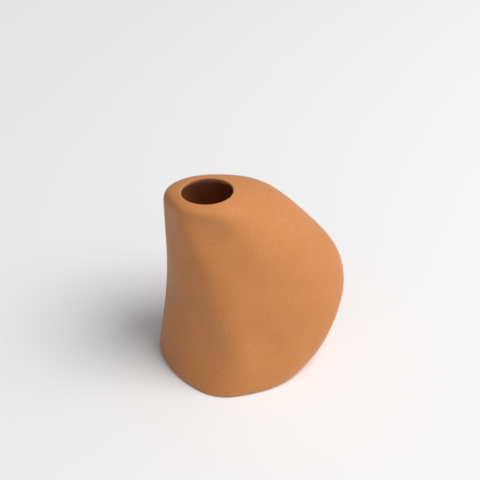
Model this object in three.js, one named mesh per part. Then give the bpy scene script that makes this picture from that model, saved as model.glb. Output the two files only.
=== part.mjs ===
// A small slip-cast bud vase: a lopsided pebble of matte terracotta clay with one oval mouth.
// Millimetres, +Z up. The finished vase stands on z = 0 and is centred on the Z axis.
import * as THREE from "three";
import { LoftGeometry } from "three/addons/geometries/LoftGeometry.js";

// Driving sizes.
const overall = { width: 108.3, depth: 86.3, height: 110 };
const wallThickness = 4.4;
const floorThickness = 6;
// The mouth's turn in plan, its lean to the right and the bearing of its first point are in degrees.
const mouth = { length: 29, width: 24, turn: 24, lean: 3, firstBearing: -6 };
const lip = { edgeRound: 1, depth: 2.6, undercut: 4 };
const foot = { edgeRound: 2.4, ringWidth: 9, recessDepth: 1.2, recessSlope: 2.5 };
const innerCornerRound = 8;
const sag = { width: 7, recess: 0.2, innerFloor: 0.5 }; // how the two faces of the floor crown in the kiln
const clayColour = 0xc98350;

// How finely the clay's skin is cut up: round the vase, up each wall, and across each rounded edge.
const steps = { around: 64, outerWall: 30, innerWall: 22, round: 4 };

// The form, drawn as outlines one above another for a vase of the drawn size. Each outline has its
// height on the mouth's axis, how steeply it drops to the right in degrees, and ten points
// (x right, y back) in this order: right, back-right, back, back-left, left-back, left, left face,
// ridge, front, front-right.
const drawn = { width: 108.3, depth: 86.3, height: 110 };
const outlines = [
  { z: 0, drop: 0, points: [
    [56, 23], [46, 50], [19, 61], [-9, 57], [-27, 43],
    [-28, 26], [-17.5, 6], [1.5, -9.5], [22.5, -9], [43.5, 0.5]] },
  { z: 12, drop: 2, points: [
    [66, 25], [54, 54], [22, 65], [-8, 61], [-25.5, 46],
    [-26.7, 29], [-16, 9], [7, -6], [27.5, -4.8], [49.5, 3]] },
  { z: 28, drop: 4, points: [
    [73, 28], [60, 58], [26, 69], [-6, 65], [-23, 49],
    [-24.3, 32], [-14, 14], [10.5, -1.2], [29, 1.4], [52, 8.5]] },
  { z: 46, drop: 7, points: [
    [78, 36], [64, 64], [28, 74], [-5, 68], [-21.5, 51],
    [-22.3, 37], [-13.5, 19], [6.5, 4.8], [27, 6.2], [52, 13.6]] },
  { z: 66, drop: 11, points: [
    [77, 42], [63, 68], [27, 76], [-5, 70], [-20.5, 53],
    [-22.5, 39], [-15.5, 24], [1.5, 10.6], [22.5, 11.3], [48, 18.5]] },
  { z: 86, drop: 16, points: [
    [69, 46], [56.5, 67], [26, 74], [-4, 68], [-20, 54],
    [-23, 40], [-18, 28.5], [-7.5, 17.8], [13.5, 16], [41, 22]] },
  { z: 98.5, drop: 13, points: [
    [50, 44], [44, 63], [22, 69], [-3, 63], [-18, 52],
    [-23, 39], [-19, 29.5], [-12, 21.5], [5, 19], [26.5, 23.5]] },
  { z: 106, drop: 7, points: [
    [32, 42], [29, 56.5], [14, 60], [-4, 56.5], [-16, 48.5],
    [-20.5, 39], [-17.5, 29.5], [-10.5, 21.7], [2.5, 19.5], [17, 24.5]] },
];
const mouthCentre = { x: 0.8, y: 37.4, z: 109.4 };

const degrees = THREE.MathUtils.degToRad;
const between = THREE.MathUtils.lerp;

// Stretches a drawn place to the vase's own size.
const placed = (x, y, z) => new THREE.Vector3(x, y, z).multiply(new THREE.Vector3(
  overall.width / drawn.width, overall.depth / drawn.depth, overall.height / drawn.height));

function outlineRow({ z, drop, points }) {
  return points.map(([x, y]) => placed(x, y, z - x * Math.tan(degrees(drop))));
}

// The mouth ends the form: an oval turned in plan, with its points spaced evenly round it.
function mouthRow(pointCount) {
  const centre = placed(mouthCentre.x, mouthCentre.y, mouthCentre.z);
  return Array.from({ length: pointCount }, (_, i) => {
    const bearing = degrees(mouth.firstBearing + 360 * i / pointCount);
    const angle = bearing - degrees(mouth.turn);
    const reach = 1 / Math.hypot(Math.cos(angle) / (mouth.length / 2), Math.sin(angle) / (mouth.width / 2));
    const toRight = reach * Math.cos(bearing);
    const toBack = reach * Math.sin(bearing);
    return new THREE.Vector3(toRight, toBack, -toRight * Math.tan(degrees(mouth.lean))).add(centre);
  });
}

// The place i of a list that closes on itself round the vase.
const round = (list, i) => list[(i + list.length) % list.length];

// The place i of a list that carries straight on past its ends.
function carriedOn(list, i) {
  const last = list.length - 1;
  if (i < 0) return list[0].clone().multiplyScalar(2).sub(list[1]);
  if (i > last) return list[last].clone().multiplyScalar(2).sub(list[last - 1]);
  return list[i];
}

// Control points whose cubic B-spline passes through the given points. neighbour says what stands
// next to each of them; a list that doesn't close keeps its two end points.
function controlsThrough(points, neighbour) {
  const isHeld = (i) => neighbour === carriedOn && (i === 0 || i === points.length - 1);
  let controls = points;
  for (let pass = 0; pass < 40; pass++) {
    const before = controls;
    controls = before.map((control, i) => {
      if (isHeld(i)) return points[i];
      const beside = neighbour(before, i - 1).clone().add(neighbour(before, i + 1));
      const reached = beside.addScaledVector(control, 4).divideScalar(6);
      return control.clone().add(points[i]).sub(reached);
    });
  }
  return controls;
}

const cubicWeights = (t) => [
  (1 - t) ** 3 / 6,
  (3 * t ** 3 - 6 * t ** 2 + 4) / 6,
  (-3 * t ** 3 + 3 * t ** 2 + 3 * t + 1) / 6,
  t ** 3 / 6,
];

// The controls, one list for each feature of the outlines: smooth round each outline, then smooth
// up from the foot to the mouth.
const outlineRows = outlines.map(outlineRow);
const rows = [...outlineRows, mouthRow(outlines[0].points.length)];
const roundRows = rows.map((row) => controlsThrough(row, round));
const features = roundRows[0].map((_, i) => {
  return controlsThrough(roundRows.map((row) => row[i]), carriedOn);
});
const topRow = rows.length - 1;

// A point on the outside of the clay. turn runs 0 to 1 round the vase, rise 0 to topRow up it.
function outer(turn, rise) {
  const across = turn * features.length;
  const column = Math.floor(across);
  const row = Math.min(Math.floor(rise), topRow - 1);
  const point = new THREE.Vector3();
  cubicWeights(across - column).forEach((columnWeight, i) => {
    const feature = round(features, column + i - 1);
    cubicWeights(rise - row).forEach((rowWeight, j) => {
      point.addScaledVector(carriedOn(feature, row + j - 1), columnWeight * rowWeight);
    });
  });
  return point;
}

function outward(turn, rise) {
  const nudge = 0.005;
  const low = Math.max(rise - nudge, 0);
  const high = Math.min(rise + nudge, topRow);
  const along = outer(turn + nudge, rise).sub(outer(turn + 1 - nudge, rise));
  return along.cross(outer(turn, high).sub(outer(turn, low))).normalize();
}

// A point on the inside of the clay, one wall in from the outside.
const inner = (turn, rise) => outer(turn, rise).addScaledVector(outward(turn, rise), -wallThickness);

// Moves a point level toward the middle of the foot, and to a height.
const footMiddle = rows[0].reduce((sum, point) => sum.add(point), new THREE.Vector3());
footMiddle.divideScalar(rows[0].length);
function movedIn(point, distance, height) {
  const inward = footMiddle.clone().sub(point).setZ(0).normalize();
  return point.clone().addScaledVector(inward, distance).setZ(height);
}

// Where a measure that grows from low to high passes zero.
function crossing(low, high, measure) {
  for (let pass = 0; pass < 30; pass++) {
    const middle = (low + high) / 2;
    if (measure(middle) < 0) low = middle;
    else high = middle;
  }
  return (low + high) / 2;
}

function roundedEdge(from, corner, to) {
  return new THREE.QuadraticBezierCurve3(from, corner, to).getPoints(steps.round);
}

// The points between two rises on one side of the wall, without its two ends.
function wallBetween(side, turn, fromRise, toRise, count) {
  const rises = Array.from({ length: count - 1 }, (_, i) => between(fromRise, toRise, (i + 1) / count));
  return rises.map((rise) => side(turn, rise));
}

// One section of the clay at one turn: from the recess under the foot, out and up the outside, over
// the lip, and down the inside to the floor.
function section(turn) {
  const footEdge = outer(turn, 0);
  const recessEdge = foot.edgeRound + foot.ringWidth;
  const recessFloor = recessEdge + foot.recessSlope;
  const recess = [
    movedIn(footEdge, recessFloor + sag.width, foot.recessDepth - sag.recess),
    movedIn(footEdge, recessFloor, foot.recessDepth),
    movedIn(footEdge, recessEdge, 0),
  ];

  const outerStart = crossing(0, 1, (rise) => outer(turn, rise).z - foot.edgeRound);
  const footRound = roundedEdge(movedIn(footEdge, foot.edgeRound, 0), footEdge, outer(turn, outerStart));

  const rim = outer(turn, topRow);
  const toRim = (rise) => outer(turn, rise).distanceTo(rim);
  const outerEnd = crossing(topRow - 1, topRow, (rise) => lip.edgeRound - toRim(rise));
  const outerWall = wallBetween(outer, turn, outerStart, outerEnd, steps.outerWall);
  const lipEdge = rim.clone().setZ(rim.z - lip.edgeRound);
  const lipRound = roundedEdge(outer(turn, outerEnd), rim, lipEdge);

  const axis = placed(mouthCentre.x, mouthCentre.y, 0);
  const fromAxis = (point) => point.clone().sub(axis).setZ(0).length();
  const throatReach = fromAxis(rim) + lip.undercut;
  const innerStart = crossing(topRow - 3, topRow, (rise) => throatReach - fromAxis(inner(turn, rise)));
  const throat = rim.clone().setZ(rim.z - lip.depth);
  const underLip = roundedEdge(lipEdge, throat, inner(turn, innerStart)).slice(1);

  const riseInside = (height) => crossing(0, 3, (rise) => inner(turn, rise).z - height);
  const innerEnd = riseInside(floorThickness + innerCornerRound);
  const innerWall = wallBetween(inner, turn, innerStart, innerEnd, steps.innerWall);
  const corner = inner(turn, riseInside(floorThickness)).setZ(floorThickness);
  const floorStart = movedIn(corner, innerCornerRound, floorThickness);
  const cornerRound = roundedEdge(inner(turn, innerEnd), corner, floorStart);
  const crown = movedIn(corner, innerCornerRound + sag.width, floorThickness + sag.innerFloor);

  return [
    ...recess, ...footRound, ...outerWall, ...lipRound,
    ...underLip, ...innerWall, ...cornerRound, crown,
  ];
}

const sections = Array.from({ length: steps.around }, (_, i) => section(i / steps.around));
const rings = sections[0].map((_, k) => sections.map((points) => points[k]));
const skin = new LoftGeometry(rings, { capStart: true, capEnd: true });
skin.computeBoundingBox();
const middle = skin.boundingBox.getCenter(new THREE.Vector3());
skin.translate(-middle.x, -middle.y, -skin.boundingBox.min.z);

const clay = new THREE.MeshStandardMaterial({ color: clayColour, roughness: 0.85, metalness: 0 });
const body = new THREE.Mesh(skin, clay);
body.name = "vase_body";

const vase = new THREE.Group();
vase.name = "bud_vase";
vase.add(body);
export default vase;
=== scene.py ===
import math

import bpy
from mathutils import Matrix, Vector


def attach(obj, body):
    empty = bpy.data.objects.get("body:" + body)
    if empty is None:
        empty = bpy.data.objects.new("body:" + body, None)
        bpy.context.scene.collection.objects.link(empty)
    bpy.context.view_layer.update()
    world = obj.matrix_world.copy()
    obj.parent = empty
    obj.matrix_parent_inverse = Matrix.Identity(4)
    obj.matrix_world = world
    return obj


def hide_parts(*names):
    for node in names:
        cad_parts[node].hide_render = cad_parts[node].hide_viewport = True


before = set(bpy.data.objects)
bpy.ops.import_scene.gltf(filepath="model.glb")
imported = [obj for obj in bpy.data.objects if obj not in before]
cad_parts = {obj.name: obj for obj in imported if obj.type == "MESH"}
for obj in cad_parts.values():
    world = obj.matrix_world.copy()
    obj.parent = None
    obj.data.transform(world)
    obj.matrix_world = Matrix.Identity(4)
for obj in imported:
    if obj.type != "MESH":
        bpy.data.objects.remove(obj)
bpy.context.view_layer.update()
scene = bpy.context.scene
scene.view_settings.view_transform = "Standard"

camera = {
    "aim": (-0.0070, -0.0118, 0.0880),  # the place it looks at, in metres
    "distance": 0.6105,
    "elevation": 37.4,
    "turn": -1.7,  # degrees round the vase, to the right of its front when positive
    "lens": 85,
}


def awayFrom(turn, elevation):
    turn, elevation = math.radians(turn), math.radians(elevation)
    flat = math.cos(elevation)
    return Vector((math.sin(turn) * flat, -math.cos(turn) * flat, math.sin(elevation)))


def makeCamera():
    away = awayFrom(camera["turn"], camera["elevation"])
    data = bpy.data.cameras.new("camera")
    data.lens = camera["lens"]
    data.clip_start, data.clip_end = 0.01, 20
    viewer = bpy.data.objects.new("camera", data)
    viewer.location = Vector(camera["aim"]) + away * camera["distance"]
    viewer.rotation_euler = away.to_track_quat("Z", "Y").to_euler()
    scene.collection.objects.link(viewer)
    scene.camera = viewer
    print("camera is set")


studio = {
    "floorSize": 8.0,
    "paper": (0.9, 0.9, 0.9, 1),
    "sky": (0.93, 0.96, 1.0, 1),
    "skyDim": 0.05,  # its strength on the left and behind
    "skyBright": 0.75,
    "skyTurn": 60,  # where it is brightest
    "skyElevation": 10,
    "keyTurn": 77,
    "keyElevation": 56,
    "keyDistance": 2.4,
    "keySize": 1.9,
    "keyPower": 46,
    "keyColour": (1.0, 0.98, 0.955),
}


def makeFloor():
    bpy.ops.object.select_all(action="DESELECT")
    bpy.ops.mesh.primitive_plane_add(size=studio["floorSize"], location=(0, 0, 0))
    floor = bpy.context.object
    floor.name = "floor"
    paper = bpy.data.materials.new("floor_paper")
    paper.use_nodes = True
    shader = paper.node_tree.nodes["Principled BSDF"]
    shader.inputs["Base Color"].default_value = studio["paper"]
    shader.inputs["Roughness"].default_value = 0.7
    shader.inputs["Specular IOR Level"].default_value = 0.2
    floor.data.materials.append(paper)
    print("floor is laid")


def makeSky():
    world = bpy.data.worlds.new("studio")
    world.use_nodes = True
    nodes, links = world.node_tree.nodes, world.node_tree.links
    sky = nodes["Background"]
    sky.inputs["Color"].default_value = studio["sky"]
    direction = nodes.new("ShaderNodeTexCoord")
    towardBright = nodes.new("ShaderNodeVectorMath")
    towardBright.operation = "DOT_PRODUCT"
    towardBright.inputs[1].default_value = awayFrom(studio["skyTurn"], studio["skyElevation"])
    strength = nodes.new("ShaderNodeMapRange")
    strength.inputs["From Min"].default_value = -1
    strength.inputs["To Min"].default_value = studio["skyDim"]
    strength.inputs["To Max"].default_value = studio["skyBright"]
    links.new(direction.outputs["Generated"], towardBright.inputs[0])
    links.new(towardBright.outputs["Value"], strength.inputs["Value"])
    links.new(strength.outputs["Result"], sky.inputs["Strength"])
    scene.world = world
    print("sky is set")


def makeKeyLight():
    away = awayFrom(studio["keyTurn"], studio["keyElevation"])
    data = bpy.data.lights.new("keyLight", "AREA")
    data.shape = "DISK"
    data.size = studio["keySize"]
    data.energy = studio["keyPower"]
    data.color = studio["keyColour"]
    light = bpy.data.objects.new("keyLight", data)
    light.location = away * studio["keyDistance"]
    light.rotation_euler = away.to_track_quat("Z", "Y").to_euler()
    scene.collection.objects.link(light)
    print("key light is set")


class Shade:
    # one socket of a material; sums and products of it add Math nodes

    def __init__(self, material, socket):
        self.material, self.socket = material, socket

    def node(self, kind, settings, sockets, output=0):
        made = self.material.node_tree.nodes.new(kind)
        for name, value in settings.items():
            setattr(made, name, value)
        for name, value in sockets.items():
            if isinstance(value, Shade):
                self.material.node_tree.links.new(value.socket, made.inputs[name])
            else:
                made.inputs[name].default_value = value
        return Shade(self.material, made.outputs[output])

    def maths(self, operation, first, second):
        return self.node("ShaderNodeMath", {"operation": operation}, {0: first, 1: second})

    def __add__(self, other):
        return self.maths("ADD", self, other)

    __radd__ = __add__

    def __sub__(self, other):
        return self.maths("SUBTRACT", self, other)

    def __rsub__(self, other):
        return self.maths("SUBTRACT", other, self)

    def __mul__(self, other):
        return self.maths("MULTIPLY", self, other)

    __rmul__ = __mul__


def newMaterial(name):
    material = bpy.data.materials.new(name)
    material.use_nodes = True
    coordinates = material.node_tree.nodes.new("ShaderNodeTexCoord")
    shader = material.node_tree.nodes["Principled BSDF"]
    return material, shader, Shade(material, coordinates.outputs["Object"])


def feed(shader, name, shade):
    shade.material.node_tree.links.new(shade.socket, shader.inputs[name])


clay = {
    "colour": (0.560, 0.207, 0.050, 1),
    "paleColour": (0.610, 0.242, 0.072, 1),
    "darkColour": (0.470, 0.158, 0.030, 1),
    "roughness": 0.72,
    "specular": 0.5,
    "sheen": 0.22,
    "clouds": 0.6,  # how much of the pale colour the broad clouds bring in
    "grains": 0.42,  # how much of the dark colour the grain brings in
    "cloudSize": 0.016,
    "grainSize": 0.0014,
    "sandSize": 0.0006,
    "grainHeight": 0.00006,
}


# sizes are in metres, as the object's own coordinates are
def noise(place, size, detail, roughness=0.5):
    sockets = {"Vector": place, "Scale": 1 / size, "Detail": detail, "Roughness": roughness}
    return place.node("ShaderNodeTexNoise", {"normalize": True}, sockets)


def spread(value, low, high):
    sockets = {"Value": value, "From Min": low, "From Max": high}
    return value.node("ShaderNodeMapRange", {"clamp": True}, sockets)


def mixed(factor, first, second):
    settings = {"data_type": "RGBA", "blend_type": "MIX"}
    return factor.node("ShaderNodeMix", settings, {0: factor, 6: first, 7: second}, output=2)


def makeClay():
    material, shader, place = newMaterial("bisque_clay")
    clouds = spread(noise(place, clay["cloudSize"], 3), 0.35, 0.65)
    grain = spread(noise(place, clay["grainSize"], 2, 0.6), 0.3, 0.7)
    sand = noise(place, clay["sandSize"], 1)

    ground = mixed(clouds * clay["clouds"], clay["colour"], clay["paleColour"])
    feed(shader, "Base Color", mixed(grain * clay["grains"], ground, clay["darkColour"]))
    feed(shader, "Roughness", clay["roughness"] + 0.08 * (grain - 0.5))
    shader.inputs["Specular IOR Level"].default_value = clay["specular"]
    shader.inputs["Sheen Weight"].default_value = clay["sheen"]

    height = grain * 0.6 + sand * 0.4
    sockets = {"Strength": 0.5, "Distance": clay["grainHeight"], "Height": height}
    feed(shader, "Normal", place.node("ShaderNodeBump", {}, sockets))
    return material


vaseBody = {
    "mergeDistance": 0.00002,
    "quadAngle": 60,  # how far from flat and square a pair of triangles may be to join
    "subdivisions": 2,
}


# the vase is a smooth copy of the CAD skin, so it keeps the same wall and mouth
def makeVase():
    bpy.ops.object.select_all(action="DESELECT")
    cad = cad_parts["vase_body"]
    vase = bpy.data.objects.new("clay_vase", cad.data.copy())
    scene.collection.objects.link(vase)
    bpy.context.view_layer.objects.active = vase
    vase.select_set(True)
    bpy.ops.object.mode_set(mode="EDIT")
    bpy.ops.mesh.select_all(action="SELECT")
    bpy.ops.mesh.remove_doubles(threshold=vaseBody["mergeDistance"])
    quadAngle = math.radians(vaseBody["quadAngle"])
    bpy.ops.mesh.tris_convert_to_quads(face_threshold=quadAngle, shape_threshold=quadAngle)
    bpy.ops.object.mode_set(mode="OBJECT")

    smooth = vase.modifiers.new("smooth", "SUBSURF")
    smooth.levels = smooth.render_levels = vaseBody["subdivisions"]
    bpy.ops.object.modifier_apply(modifier="smooth")
    bpy.ops.object.shade_smooth()
    vase.data.materials.clear()
    vase.data.materials.append(makeClay())
    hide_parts("vase_body")
    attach(vase, "root")
    print("vase has", len(vase.data.polygons), "faces")


makeCamera()
makeFloor()
makeSky()
makeKeyLight()
makeVase()
